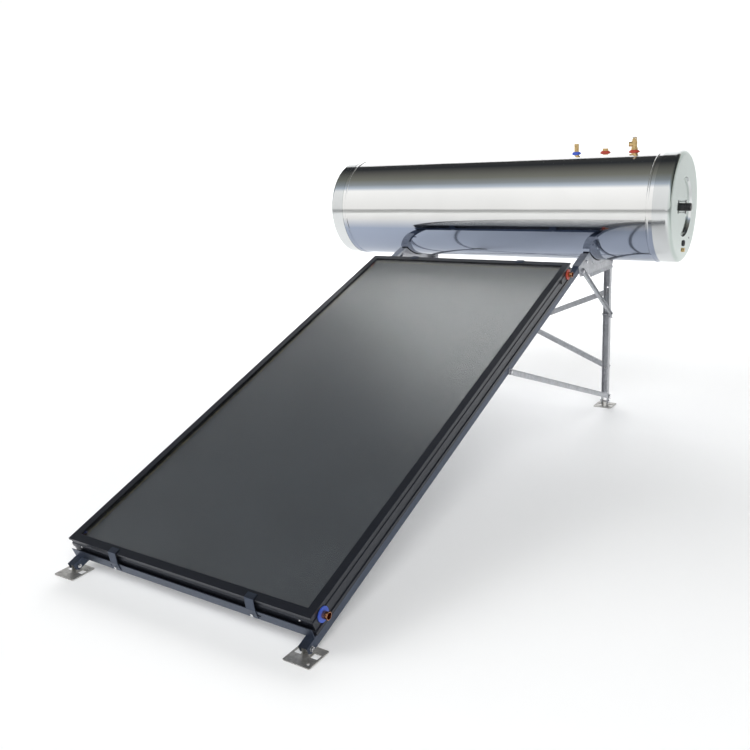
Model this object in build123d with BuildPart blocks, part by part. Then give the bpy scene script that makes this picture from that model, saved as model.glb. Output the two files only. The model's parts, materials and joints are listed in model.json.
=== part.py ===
from build123d import *
import math
import os

os.makedirs("parts", exist_ok=True)

# A close-coupled solar water heater, in millimetres. +Z is up, +Y runs from the collector's low front edge
# towards the tank, and +X is to the right of someone facing the collector. The origin is on the ground, on
# the collector's middle plane, halfway between the front of the front feet and the back of the tank.

# ---------------------------------------------------------------- driving dimensions
slope = 20.0  # tilt of the collector, degrees
collector_width = 1000.0
collector_length = 2000.0
collector_depth = 68.0
front_height = 113.0  # the collector's front top edge above the ground
tank_radius = 240.0
tank_half_length = 868.0
tank_height = 1000.0  # the tank's axis above the ground
tank_reach = 2270.0  # the tank's axis behind the collector's front top edge
leg_reach = 2434.0  # middle of the rear legs behind the same edge
front_pivot_reach = 0.0  # hinge bolt of the front feet behind the same edge
post_offset = 481.0  # middle of the rails and legs from the middle plane
pivot_height = 22.0  # hinge bolts of the feet above the ground
clearance = 0.3  # between pieces that move past each other

foot_side = 90.0
foot_plate = 3.0
front_plate_shift = -8.0  # middle of the front foot plates ahead of their hinge bolt

bead_rise = 2.5  # rolled beads of the tank jacket
rearmost = tank_reach + tank_radius + bead_rise
foremost = front_pivot_reach + front_plate_shift - foot_side / 2
front_y = -(rearmost + foremost) / 2
tank_y = front_y + tank_reach
leg_y = front_y + leg_reach

slope_cos = math.cos(math.radians(slope))
slope_sin = math.sin(math.radians(slope))

# ---------------------------------------------------------------- frames of reference
# The slope frame lies on the collector's top face: x across, t up the slope and n square to the glass.
slope_up = Vector(0, slope_cos, slope_sin)
slope_normal = Vector(0, -slope_sin, slope_cos)
slope_plane = Plane(origin=(0, front_y, front_height), x_dir=(1, 0, 0), z_dir=slope_normal)

# The tank frame stands on the tank's axis: x along the tank and y upwards.
tank_axis = Axis((0, tank_y, tank_height), (1, 0, 0))
tank_plane = Plane(origin=(0, tank_y, tank_height), x_dir=(1, 0, 0), z_dir=(0, -1, 0))


def slope_point(x, t, n):
    """A point of the slope frame in the part's own frame."""
    return slope_plane.from_local_coords(Vector(x, t, n))


def slope_yz(t, n):
    """The Y and Z of a point of the slope frame."""
    point = slope_point(0, t, n)
    return point.Y, point.Z


def save(piece, node):
    """Label a finished piece and write it."""
    piece.part.label = node
    export_step(piece.part, f"parts/{node}.step")


def drill_across(x, spots, radius, depth):
    """Cut round holes along X through the part being built; spots are (y, z)."""
    with BuildSketch(Plane.YZ.offset(x)) as holes:
        with Locations(*spots):
            Circle(radius)
    extrude(holes.sketch, amount=depth / 2, both=True, mode=Mode.SUBTRACT)


def rod_across(x_from, x_to, spot, radius):
    """Add a round bar along X between two x values; spot is (y, z)."""
    with BuildSketch(Plane.YZ.offset(x_from)) as section:
        with Locations(spot):
            Circle(radius)
    extrude(section.sketch, amount=x_to - x_from)


# ---------------------------------------------------------------- collector frame
# The extrusion's section, with u outwards from the outer face and n up from the top face.
lip_width = 28.0
lip_thick = 2.5
shelf_top = -9.5
flange_top = -66.0
frame_section = [
    (-lip_width, 0),
    (0, 0),
    (0, -7),
    (-4, -8.5),
    (-4, -20),
    (-1.5, -22.5),
    (-1.5, -36),
    (-3.5, -38),
    (-3.5, -55),
    (0, -57),
    (0, -collector_depth),
    (-24, -collector_depth),
    (-24, flange_top),
    (-2, flange_top),
    (-2, -58.5),
    (-5.5, -56.5),
    (-5.5, -37),
    (-3.5, -35),
    (-3.5, -24),
    (-6, -21.5),
    (-6, -11.5),
    (-22, -11.5),
    (-22, shelf_top),
    (-6, shelf_top),
    (-6, -lip_thick),
    (-lip_width, -lip_thick),
]
side_wall_outer = collector_width / 2 - 1.5

header_radius = 11.0
header_wall = 1.0
header_n = -33.0
header_spots = (45.0, 1955.0)  # up the slope
header_reach = 520.0
stub_step = 0.2  # the open ends are this much larger in radius, up to where they leave the grommets
stub_start = 502.0
grommet_hole = 17.0
vent_spot = (1880.0, -29.0)
vent_hole = 5.0
rivet_radius = 2.0
rivet_inset = 48.0
rivet_n = -29.0


def frame_piece(section_plane, run):
    """Extrude the frame's section from a plane at the outer face."""
    with BuildSketch(section_plane) as section:
        with BuildLine():
            Polyline(*frame_section, close=True)
        make_face()
    extrude(section.sketch, amount=run)


def mitre(x_sign, t_end, keep):
    """Cut the piece being built on the 45 degree plane through one corner of the collector."""
    t_sign = 1 if t_end == 0 else -1
    corner = slope_point(x_sign * collector_width / 2, t_end, 0)
    across = Vector(1, 0, 0) * x_sign + slope_up * t_sign
    split(bisect_by=Plane(origin=corner, z_dir=across), keep=keep)


for end, t_end in (("front", 0), ("back", collector_length)):
    outwards = slope_up * (-1 if end == "front" else 1)
    along = Vector(-1, 0, 0) if end == "front" else Vector(1, 0, 0)
    with BuildPart() as end_frame:
        start = slope_point(-along.X * collector_width / 2, t_end, 0)
        frame_piece(Plane(origin=start, x_dir=outwards, z_dir=along), collector_width)
        mitre(1, t_end, Keep.BOTTOM)
        mitre(-1, t_end, Keep.BOTTOM)
        for x_sign in (-1, 1):
            rivet_x = x_sign * (collector_width / 2 - rivet_inset)
            rivet_plane = Plane(origin=slope_point(rivet_x, t_end, rivet_n), z_dir=outwards)
            with BuildSketch(rivet_plane):
                Circle(rivet_radius)
            extrude(amount=12, both=True, mode=Mode.SUBTRACT)
    save(end_frame, f"frame_{end}")

for side, sign in (("left", -1), ("right", 1)):
    with BuildPart() as side_frame:
        along = slope_up * (1 if sign < 0 else -1)
        origin = slope_point(sign * collector_width / 2, 0, 0)
        frame_piece(Plane(origin=origin, x_dir=(sign, 0, 0), z_dir=along), -sign * collector_length)
        mitre(sign, 0, Keep.TOP)
        mitre(sign, collector_length, Keep.TOP)
        header_holes = [slope_yz(t, header_n) for t in header_spots]
        drill_across(sign * side_wall_outer, header_holes, grommet_hole, 20)
        drill_across(sign * side_wall_outer, [slope_yz(*vent_spot)], vent_hole, 20)
    save(side_frame, f"frame_{side}")

with BuildPart() as frame_rivets:
    for t_end, out_sign in ((0, -1), (collector_length, 1)):
        for x_sign in (-1, 1):
            rivet_x = x_sign * (collector_width / 2 - rivet_inset)
            wall_t = t_end - out_sign * 1.5
            with BuildSketch(
                Plane(origin=slope_point(rivet_x, wall_t, rivet_n), z_dir=slope_up * out_sign)
            ):
                Circle(rivet_radius)
            extrude(amount=-6)
            with BuildSketch(
                Plane(origin=slope_point(rivet_x, wall_t, rivet_n), z_dir=slope_up * out_sign)
            ):
                Circle(3.4)
            extrude(amount=1.3, taper=35)
save(frame_rivets, "frame_rivets")

# ---------------------------------------------------------------- glazing and absorber
glass_inset = 11.0
glass_width = collector_width - 2 * glass_inset
glass_length = collector_length - 2 * glass_inset
glass_thick = 3.2
glass_top = -4.4
gasket_top = -2.6
gasket_bottom = -9.4
gasket_outer = 6.4
gasket_inner = 26.0
middle_t = collector_length / 2

with BuildPart(slope_plane) as glass_cover:
    with Locations((0, middle_t, glass_top)):
        Box(glass_width, glass_length, glass_thick, align=(Align.CENTER, Align.CENTER, Align.MAX))
save(glass_cover, "glass_cover")

with BuildPart() as glass_gasket:
    with BuildSketch(slope_plane.offset(gasket_bottom)):
        with Locations((0, middle_t)):
            Rectangle(collector_width - 2 * gasket_outer, collector_length - 2 * gasket_outer)
            Rectangle(
                collector_width - 2 * gasket_inner,
                collector_length - 2 * gasket_inner,
                mode=Mode.SUBTRACT,
            )
    extrude(amount=gasket_top - gasket_bottom)
    with BuildSketch(slope_plane.offset(glass_top)):
        with Locations((0, middle_t)):
            Rectangle(glass_width, glass_length)
    extrude(amount=-glass_thick, mode=Mode.SUBTRACT)
save(glass_gasket, "glass_gasket")

absorber_width = 940.0
absorber_length = 1930.0
absorber_n = -21.0
absorber_thick = 0.8
riser_count = 8
riser_radius = 5.0
riser_wall = 0.8
riser_pitch = 116.0
riser_n = absorber_n - absorber_thick - riser_radius

with BuildPart(slope_plane) as absorber_plate:
    with Locations((0, middle_t, absorber_n)):
        Box(
            absorber_width,
            absorber_length,
            absorber_thick,
            align=(Align.CENTER, Align.CENTER, Align.MAX),
        )
save(absorber_plate, "absorber_plate")

riser_xs = [(i - (riser_count - 1) / 2) * riser_pitch for i in range(riser_count)]


def tube_section(outer, wall):
    """A ring in the sketch being built."""
    Circle(outer)
    Circle(outer - wall, mode=Mode.SUBTRACT)


with BuildPart() as riser_tubes:
    start = slope_point(0, header_spots[0], riser_n)
    with BuildSketch(Plane(origin=start, x_dir=(1, 0, 0), z_dir=slope_up)):
        with Locations(*[(x, 0) for x in riser_xs]):
            tube_section(riser_radius, riser_wall)
    extrude(amount=header_spots[1] - header_spots[0])
    drill_across(0, [slope_yz(t, header_n) for t in header_spots], header_radius, collector_width)
save(riser_tubes, "riser_tubes")

for node, t in (("header_lower", header_spots[0]), ("header_upper", header_spots[1])):
    inwards = slope_up * (1 if t < middle_t else -1)
    with BuildPart() as header:
        with BuildSketch(Plane.YZ.offset(-header_reach)):
            with Locations(slope_yz(t, header_n)):
                tube_section(header_radius - stub_step, header_wall)
        extrude(amount=2 * header_reach)
        for sign in (-1, 1):
            with BuildSketch(Plane.YZ.offset(sign * stub_start)):
                with Locations(slope_yz(t, header_n)):
                    tube_section(header_radius, header_wall + stub_step)
            extrude(amount=sign * (header_reach - stub_start))
        with BuildSketch(Plane(origin=slope_point(0, t, riser_n), x_dir=(1, 0, 0), z_dir=inwards)):
            with Locations(*[(x, 0) for x in riser_xs]):
                Circle(riser_radius - riser_wall)
        extrude(amount=header_radius * 1.2, mode=Mode.SUBTRACT)
    save(header, node)

grommet_radius = 22.5
grommet_face = 3.5
for node, t in (("cold_header_grommets", header_spots[0]), ("hot_header_grommets", header_spots[1])):
    spot = slope_yz(t, header_n)
    with BuildPart() as grommets:
        for sign in (-1, 1):
            outer_face = sign * (side_wall_outer + grommet_face)
            rod_across(sign * side_wall_outer, outer_face, spot, grommet_radius)
            rod_across(sign * (side_wall_outer - 7), sign * side_wall_outer, spot, grommet_hole)
        drill_across(0, [spot], header_radius - stub_step, 2 * collector_width)
    save(grommets, node)

with BuildPart() as vent_plugs:
    for sign in (-1, 1):
        wall = side_wall_outer
        rod_across(sign * wall, sign * (wall + 4), slope_yz(*vent_spot), 8)
        rod_across(sign * (wall - 7), sign * wall, slope_yz(*vent_spot), vent_hole)
save(vent_plugs, "vent_plugs")

pad_top = -32.6
pad_bottom = -65.0
pad_inset = 10.0
with BuildPart(slope_plane) as insulation_pad:
    with Locations((0, middle_t, pad_top)):
        Box(
            collector_width - 2 * pad_inset,
            collector_length - 2 * pad_inset,
            pad_top - pad_bottom,
            align=(Align.CENTER, Align.CENTER, Align.MAX),
        )
    drill_across(0, [slope_yz(t, header_n) for t in header_spots], header_radius + 1, collector_width)
save(insulation_pad, "insulation_pad")

sheet_inset = 3.0
with BuildPart(slope_plane) as back_sheet:
    with Locations((0, middle_t, pad_bottom)):
        Box(
            collector_width - 2 * sheet_inset,
            collector_length - 2 * sheet_inset,
            pad_bottom - flange_top,
            align=(Align.CENTER, Align.CENTER, Align.MAX),
        )
save(back_sheet, "back_sheet")

# ---------------------------------------------------------------- tank
shell_wall = 1.0
shell_half = 800.0
bead_spot = 771.0
bead_half = 5.0
cap_wall = 1.2
cap_lap = 8.0
cap_corner = 20.0
recess_radius = 125.0
recess_depth = 11.0
inner_radius = 190.0
inner_wall = 2.0
inner_straight = 770.0
dome_depth = 60.0
foam_gap = 0.5

cap_radius = tank_radius + cap_wall
recess_floor = tank_half_length - recess_depth

top_spots = {"cold": 376.0, "hot": 511.0, "valve": 641.0}
cold_pipe_radius = 10.5
hot_pipe_radius = 12.5
valve_shank_radius = 10.0
pipe_wall = 2.0
pipe_step = 0.5  # the exposed ends are this much larger in radius than the stretch through the jacket
top_holes = {
    "cold": cold_pipe_radius - pipe_step,
    "hot": hot_pipe_radius - pipe_step,
    "valve": valve_shank_radius,
}

port_offset = 157.0  # loop ports above and below the tank's axis, on the left
port_radius = 13.5
port_wall = 3.0
port_end = 888.0
gland_drop = 157.0
drain_drop = 186.0
drain_radius = 6.0
boss_radius = 15.0
boss_bore = 12.0
boss_end = recess_floor + 3.0
gland_neck = 11.0
gland_flange = 14.0
cap_screw_radius = 1.9
cap_screw_yz = (tank_y + 100, tank_height - 145)
cover_radius = 17.0
cover_ear = 24.0  # the cover's screws above and below its middle
cover_screw_radius = 1.9
cover_screw_spots = [(tank_y, tank_height - cover_ear), (tank_y, tank_height + cover_ear)]


def inner_tank_half(grow=0.0):
    """Half of the inner tank's outline, from its axis up, grown by an even margin."""
    depth = dome_depth + grow
    reach = inner_straight + depth
    radius = inner_radius + grow
    dish_radius = (radius**2 + depth**2) / (2 * depth)
    half_turn = math.asin(radius / dish_radius) / 2
    middle = (reach - dish_radius * (1 - math.cos(half_turn)), dish_radius * math.sin(half_turn))
    with BuildSketch(tank_plane) as outline:
        with BuildLine():
            Line((-reach, 0), (reach, 0))
            ThreePointArc((reach, 0), middle, (inner_straight, radius))
            Line((inner_straight, radius), (-inner_straight, radius))
            ThreePointArc((-inner_straight, radius), (-middle[0], middle[1]), (-reach, 0))
        make_face()
    return outline.sketch


def cut_inner_tank(grow=0.0):
    """Take the inner tank's outer form out of the part being built."""
    revolve(inner_tank_half(grow), axis=tank_axis, mode=Mode.SUBTRACT)


def rods_up(spots, radii, z_from, z_to, mode=Mode.ADD):
    """Upright round bars on the tank's middle line."""
    for x, radius in zip(spots, radii):
        with BuildSketch(Plane.XY.offset(z_from)) as section:
            with Locations((x, tank_y)):
                Circle(radius)
        extrude(section.sketch, amount=z_to - z_from, mode=mode)


def port_yz(rise):
    """The Y and Z of a point straight above or below the tank's axis."""
    return tank_y, tank_height + rise


with BuildPart() as tank_shell:
    with BuildSketch(tank_plane):
        with BuildLine():
            for radius in (tank_radius, tank_radius - shell_wall):
                for spot in (-bead_spot, bead_spot):
                    ThreePointArc(
                        (spot - bead_half, radius),
                        (spot, radius + bead_rise),
                        (spot + bead_half, radius),
                    )
                Line((-shell_half, radius), (-bead_spot - bead_half, radius))
                Line((-bead_spot + bead_half, radius), (bead_spot - bead_half, radius))
                Line((bead_spot + bead_half, radius), (shell_half, radius))
            for end in (-shell_half, shell_half):
                Line((end, tank_radius), (end, tank_radius - shell_wall))
        make_face()
    revolve(axis=tank_axis)
    rods_up(top_spots.values(), top_holes.values(), tank_height + 200, tank_height + 260, Mode.SUBTRACT)
save(tank_shell, "tank_shell")


def cap_profile(sign, wall):
    """Draws the dished cap's outline, moved inwards by wall, from the axis to the skirt's edge."""
    face = tank_half_length - wall
    floor = recess_floor - wall
    radius = cap_radius - wall
    lip = shell_half - cap_lap
    rim = recess_radius + wall
    corner = cap_corner - wall
    bend = corner * (1 - math.sqrt(0.5))
    Line((sign * floor, 0), (sign * floor, rim))
    Line((sign * floor, rim), (sign * face, rim + 3))
    Line((sign * face, rim + 3), (sign * face, radius - corner))
    ThreePointArc(
        (sign * face, radius - corner),
        (sign * (face - bend), radius - bend),
        (sign * (face - corner), radius),
    )
    Line((sign * (face - corner), radius), (sign * lip, radius))


for side, sign in (("left", -1), ("right", 1)):
    with BuildPart() as end_cap:
        with BuildSketch(tank_plane):
            with BuildLine():
                cap_profile(sign, 0)
                cap_profile(sign, cap_wall)
                skirt_x = sign * (shell_half - cap_lap)
                Line((skirt_x, cap_radius), (skirt_x, tank_radius))
                Line((sign * recess_floor, 0), (sign * (recess_floor - cap_wall), 0))
            make_face()
        revolve(axis=tank_axis)
        face_x = sign * tank_half_length
        drill_across(face_x, [port_yz(0)], boss_radius, 60)
        drill_across(face_x, [cap_screw_yz], cap_screw_radius, 40)
        if sign < 0:
            drill_across(face_x, [port_yz(-port_offset), port_yz(port_offset)], port_radius, 40)
        else:
            drill_across(face_x, [port_yz(-gland_drop)], gland_neck, 40)
            drill_across(face_x, [port_yz(-drain_drop)], drain_radius, 40)
            drill_across(face_x, cover_screw_spots, cover_screw_radius, 40)
    save(end_cap, f"end_cap_{side}")

inner_tank_section = inner_tank_half() - inner_tank_half(-inner_wall)
with BuildPart() as inner_tank:
    revolve(inner_tank_section, axis=tank_axis)
    bores = [radius - pipe_wall for radius in top_holes.values()]
    rods_up(top_spots.values(), bores, tank_height + 150, tank_height + 200, Mode.SUBTRACT)
    port_spots = [port_yz(-port_offset), port_yz(port_offset)]
    drill_across(-inner_straight - 30, port_spots, port_radius - port_wall, 80)
    drill_across(inner_straight + 30, [port_yz(-drain_drop)], drain_radius - pipe_wall, 80)
    drill_across(0, [port_yz(0)], boss_bore, 2 * tank_half_length)
save(inner_tank, "inner_tank")

foam_radius = tank_radius - shell_wall - foam_gap
with BuildPart() as foam_sleeve:
    with BuildSketch(tank_plane):
        with Locations((0, (foam_radius + inner_radius + foam_gap) / 2)):
            Rectangle(2 * inner_straight, foam_radius - inner_radius - foam_gap)
    revolve(axis=tank_axis)
    sleeves = [radius + foam_gap for radius in top_holes.values()]
    rods_up(top_spots.values(), sleeves, tank_height + 150, tank_height + 260, Mode.SUBTRACT)
save(foam_sleeve, "foam_sleeve")

foam_outline = [
    (inner_straight + foam_gap, 0),
    (inner_straight + foam_gap, foam_radius),
    (tank_half_length - cap_corner - 3, foam_radius),
    (tank_half_length - 3, foam_radius - cap_corner),
    (tank_half_length - 3, recess_radius + 6),
    (recess_floor - 3, recess_radius + 3.5),
    (recess_floor - 3, 0),
]
with BuildPart() as foam_ends:
    for sign in (-1, 1):
        with BuildSketch(tank_plane):
            with BuildLine():
                Polyline(*[(sign * x, radius) for x, radius in foam_outline], close=True)
            make_face()
        revolve(axis=tank_axis)
    cut_inner_tank(foam_gap)
    drill_across(0, [port_yz(0)], boss_radius + foam_gap, 2 * tank_half_length)
    port_pair = [port_yz(-port_offset), port_yz(port_offset)]
    drill_across(-inner_straight - 50, port_pair, port_radius + foam_gap, 120)
    drill_across(inner_straight + 50, [port_yz(-drain_drop)], drain_radius + foam_gap, 120)
    drill_across(tank_half_length, [port_yz(-gland_drop)], gland_neck + foam_gap, 40)
    drill_across(tank_half_length, cover_screw_spots, cover_screw_radius + foam_gap, 60)
save(foam_ends, "foam_ends")

with BuildPart() as end_bosses:
    for sign in (-1, 1):
        rod_across(sign * inner_straight, sign * boss_end, port_yz(0), boss_radius)
    cut_inner_tank()
    drill_across(0, [port_yz(0)], boss_bore, 2 * tank_half_length)
save(end_bosses, "end_bosses")

plug_inside = 824.0
plug_head = 13.5
plug_top = boss_end + 6
element_radius = 4.0
element_spread = 6.0
element_end = 520.0
terminal_radius = 2.0
with BuildPart() as heater_element:
    rod_across(plug_inside, boss_end, port_yz(0), boss_bore)
    with BuildSketch(Plane.YZ.offset(boss_end)):
        with Locations(port_yz(0)):
            RegularPolygon(plug_head, 6)
    extrude(amount=plug_top - boss_end)
    for rise in (-element_spread, element_spread):
        rod_across(element_end, plug_inside, port_yz(rise), element_radius)
        rod_across(plug_top, plug_top + 14, port_yz(rise), terminal_radius)
    with BuildSketch(Plane.YZ.offset(element_end)):
        with Locations(port_yz(element_spread)):
            Circle(element_radius)
    revolve(axis=Axis((element_end, tank_y, tank_height), (0, -1, 0)), revolution_arc=180)
save(heater_element, "heater_element")

cover_end = tank_half_length + 28.0
cover_wall = 2.0
collar_x = recess_floor + 14.0
collar_thick = 2.5
with BuildPart() as heater_cover:
    rod_across(recess_floor, cover_end, port_yz(0), cover_radius)
    fillet(faces().sort_by(Axis.X)[-1].edges(), 4)
    with BuildSketch(Plane.YZ.offset(collar_x)):
        with Locations(port_yz(0)):
            SlotCenterToCenter(2 * cover_ear, 11, rotation=90)
            Circle(cover_radius + 3)
    extrude(amount=collar_thick)
    with BuildSketch(Plane.YZ.offset(recess_floor)):
        with Locations(port_yz(0)):
            Circle(cover_radius - cover_wall)
    extrude(amount=cover_end - recess_floor - cover_wall, mode=Mode.SUBTRACT)
    drill_across(collar_x, cover_screw_spots, cover_screw_radius, 20)
save(heater_cover, "heater_cover")

with BuildPart() as cap_screws:
    for spot in cover_screw_spots:
        rod_across(recess_floor - 6, collar_x + collar_thick, spot, cover_screw_radius)
        rod_across(collar_x + collar_thick, collar_x + collar_thick + 2.2, spot, 3.8)
        rod_across(recess_floor, collar_x, spot, 3.2)
    for sign in (-1, 1):
        face_x = sign * tank_half_length
        rod_across(face_x - sign * cap_wall, face_x, cap_screw_yz, cap_screw_radius)
        rod_across(face_x, face_x + sign * 2.2, cap_screw_yz, 4.2)
save(cap_screws, "cap_screws")

with BuildPart() as anode_rod:
    rod_across(-500, -plug_inside, port_yz(0), 10)
    rod_across(-plug_inside, -boss_end, port_yz(0), boss_bore)
    with BuildSketch(Plane.YZ.offset(-boss_end)):
        with Locations(port_yz(0)):
            RegularPolygon(plug_head, 6)
    extrude(amount=-6)
save(anode_rod, "anode_rod")

with BuildPart() as cable_gland:
    rod_across(tank_half_length - 8, tank_half_length, port_yz(-gland_drop), gland_neck)
    with BuildSketch(Plane.YZ.offset(tank_half_length)):
        with Locations(port_yz(-gland_drop)):
            Circle(gland_flange)
    extrude(amount=5, taper=20)
    drill_across(tank_half_length, [port_yz(-gland_drop)], 5, 40)
save(cable_gland, "cable_gland")

with BuildPart() as drain_plug:
    rod_across(inner_straight, tank_half_length, port_yz(-drain_drop), drain_radius)
    cut_inner_tank()
    with BuildSketch(Plane.YZ.offset(tank_half_length)):
        with Locations(port_yz(-drain_drop)):
            RegularPolygon(10, 6)
    extrude(amount=7)
save(drain_plug, "drain_plug")

with BuildPart() as loop_ports:
    for spot in port_pair:
        rod_across(-inner_straight, -port_end, spot, port_radius)
    cut_inner_tank()
    drill_across(-inner_straight - 50, port_pair, port_radius - port_wall - 1, 400)
    drill_across(-port_end, port_pair, port_radius - port_wall, 2 * (port_end - tank_half_length))
save(loop_ports, "loop_ports")

# ---------------------------------------------------------------- fittings on top of the tank
tank_top = tank_height + tank_radius
collar_height = 10.0
cold_pipe_top = 1285.0
hot_pipe_top = 1260.0


def top_tube(x, radius, top):
    """A pipe from the inner tank's wall up through the jacket."""
    rods_up([x], [radius - pipe_step], tank_height + 150, top)
    cut_inner_tank()
    rods_up([x], [radius], tank_top + collar_height, top)
    rods_up([x], [radius - pipe_wall], tank_height + 150, top, Mode.SUBTRACT)


with BuildPart() as cold_inlet_pipe:
    top_tube(top_spots["cold"], cold_pipe_radius, cold_pipe_top)
save(cold_inlet_pipe, "cold_inlet_pipe")

with BuildPart() as hot_outlet_pipe:
    top_tube(top_spots["hot"], hot_pipe_radius, hot_pipe_top)
save(hot_outlet_pipe, "hot_outlet_pipe")


def top_collar(x, bore, radius):
    """A domed rubber collar seated on the jacket round a pipe."""
    with BuildSketch(Plane(origin=(x, tank_y, tank_top), x_dir=(1, 0, 0), z_dir=(0, -1, 0))) as section:
        with BuildLine():
            Line((bore, -5), (radius, -5))
            Line((radius, -5), (radius, 1.5))
            ThreePointArc((radius, 1.5), ((radius + bore) / 2 + 1.5, 7.5), (bore, collar_height))
            Line((bore, collar_height), (bore, -5))
        make_face()
    revolve(section.sketch, axis=Axis((x, tank_y, 0), (0, 0, 1)))
    drill_across(x, [port_yz(0)], tank_radius, 4 * radius)


with BuildPart() as cold_inlet_collar:
    top_collar(top_spots["cold"], top_holes["cold"], 20)
save(cold_inlet_collar, "cold_inlet_collar")

with BuildPart() as hot_collar:
    top_collar(top_spots["hot"], top_holes["hot"], 22.5)
with BuildPart() as valve_collar:
    top_collar(top_spots["valve"], top_holes["valve"], 24)
with BuildPart() as hot_collars:
    add(hot_collar.part)
    add(valve_collar.part)
save(hot_collars, "hot_collars")

# Temperature and pressure relief valve: its lever hinges on a pin beside the stem and lifts the stem.
valve_x = top_spots["valve"]
hex_bottom = 1250.0
hex_top = 1259.0
hex_across = 27.0
valve_top = 1296.0
valve_radius = 12.0
outlet_z = 1274.0
outlet_reach = 24.0
outlet_depth = 12.0
outlet_turn = math.radians(12)  # the drip outlet points past the other pipes
outlet_way = Vector(-math.cos(outlet_turn), -math.sin(outlet_turn), 0)
outlet_radius = 10.5
outlet_bore = 7.5
stem_radius = 3.0
stem_bottom = 1283.0
stem_top = 1303.0
ear_gap = 5.5
ear_thick = 2.5
pin_behind = 6.0
pin_z = 1301.0
pin_radius = 1.5

with BuildPart() as relief_valve_body:
    rods_up([valve_x], [valve_shank_radius], tank_height + 150, hex_bottom)
    cut_inner_tank()
    with BuildSketch(Plane.XY.offset(hex_bottom)):
        with Locations((valve_x, tank_y)):
            RegularPolygon(hex_across / 2, 6, major_radius=False)
    extrude(amount=hex_top - hex_bottom)
    rods_up([valve_x], [valve_radius], hex_top, valve_top - 8)
    rods_up([valve_x], [valve_radius - 2], valve_top - 8, valve_top)
    with BuildSketch(Plane((valve_x, tank_y, outlet_z), z_dir=outlet_way)):
        Circle(outlet_radius)
    extrude(amount=outlet_reach)
    for sign in (-1, 1):
        with BuildSketch(Plane.YZ.offset(valve_x + sign * ear_gap)):
            with Locations((tank_y + pin_behind, pin_z)):
                Circle(3.5)
            with Locations((tank_y + pin_behind, (pin_z + valve_top) / 2)):
                Rectangle(7, pin_z - valve_top)
            with Locations((tank_y + pin_behind - 2, valve_top - 3)):
                Rectangle(9, 6.5)
        extrude(amount=sign * ear_thick)
    outlet_mouth = Vector(valve_x, tank_y, outlet_z) + outlet_way * outlet_reach
    with BuildSketch(Plane(outlet_mouth, z_dir=outlet_way)):
        Circle(outlet_bore)
    extrude(amount=-outlet_depth, mode=Mode.SUBTRACT)
    rods_up([valve_x], [stem_radius + clearance], stem_bottom - 4, valve_top + 20, Mode.SUBTRACT)
    drill_across(valve_x, [(tank_y + pin_behind, pin_z)], pin_radius, 40)
save(relief_valve_body, "relief_valve_body")

with BuildPart() as relief_valve_stem:
    rods_up([valve_x], [stem_radius], stem_bottom, stem_top)
    chamfer(faces().sort_by(Axis.Z)[-1].edges(), 0.8)
save(relief_valve_stem, "relief_valve_stem")

pin_head = 2.4
pin_yz = (tank_y + pin_behind, pin_z)
with BuildPart() as relief_lever_pin:
    rod_across(valve_x - ear_gap - ear_thick, valve_x + ear_gap + ear_thick, pin_yz, pin_radius)
    for sign in (-1, 1):
        ear_face = valve_x + sign * (ear_gap + ear_thick)
        rod_across(ear_face, ear_face + sign, pin_yz, pin_head)
save(relief_lever_pin, "relief_lever_pin")

lever_thick = 1.6
lever_length = 44.0
lever_start = 7.0
cheek_radius = 3.2
with BuildPart() as relief_valve_lever:
    for sign in (-1, 1):
        with BuildSketch(Plane.YZ.offset(valve_x + sign * (ear_gap - clearance))):
            with Locations((tank_y + pin_behind, pin_z)):
                Circle(cheek_radius)
            with BuildLine():
                Polyline(
                    (tank_y + pin_behind, pin_z - cheek_radius),
                    (tank_y + pin_behind, pin_z + cheek_radius),
                    (tank_y - lever_start - 3, pin_z + cheek_radius + 3),
                    (tank_y - lever_start - 3, pin_z + 1),
                    close=True,
                )
            make_face()
        extrude(amount=-sign * lever_thick)
    tongue = Plane(origin=(valve_x, tank_y - lever_start, pin_z + cheek_radius + 2), x_dir=(1, 0, 0))
    with BuildSketch(tongue.rotated((6, 0, 0))):
        with Locations((0, -lever_length / 2)):
            RectangleRounded(2 * (ear_gap - clearance), lever_length, 3)
    extrude(amount=lever_thick)
    drill_across(valve_x, [(tank_y + pin_behind, pin_z)], pin_radius + 0.06, 40)
save(relief_valve_lever, "relief_valve_lever")

# ---------------------------------------------------------------- stand
channel = 30.0  # outer width of the rails and legs
channel_wall = 2.0
rail_top = -70.0
rail_depth = 29.0
rail_start = -46.0  # up the slope
rail_end = 2190.0
leg_bottom = 10.0
leg_top = 785.0
leg_notch_top = 40.0
pivot_radius = 4.0
bolt_radius = 4.0
front_pivot = (front_y + front_pivot_reach, pivot_height)
rear_pivot = (leg_y, pivot_height)
outer_face = post_offset + channel / 2  # outer faces of the rails and legs

strut_width = 22.0
strut_depth = 10.0
strut_wall = 2.0
strut_margin = 13.0  # past the bolts
saddle_thick = 2.5
saddle_gap = 4.0  # between the saddle's seat and the tank, filled by the pad
seat_radius = tank_radius + saddle_gap
saddle_face = outer_face + saddle_thick

upper_strut_top = (front_y + 2028, 738.0)
upper_strut_foot = (leg_y, 466.0)
lower_strut_top = (front_y + 1265, 468.0)
lower_strut_foot = (leg_y + 4, 48.0)
saddle_rail_bolt = slope_yz(2176, -88)
saddle_leg_bolt = (leg_y, 727.0)
rail_bolts = [front_pivot, upper_strut_top, lower_strut_top, saddle_rail_bolt]
leg_bolts = [rear_pivot, upper_strut_foot, lower_strut_foot, saddle_leg_bolt]

brace_width = 26.0
brace_depth = 8.0
brace_wall = 2.0
brace_margin = 14.0
leg_back = leg_y + channel / 2
spare_hole_rise = 21.0
brace_x = 478.0
brace_ends = [((brace_x, 578.0), (-brace_x, 172.0)), ((brace_x, 195.0), (-brace_x, 594.0))]

beam_t = -9.0  # front face of the front beam, measured up the slope
beam_top = -38.0
beam_leg = 33.0
beam_half = outer_face
clip_front_x = 285.0
clip_back_x = 270.0
clip_bolt_n = -54.0

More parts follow.
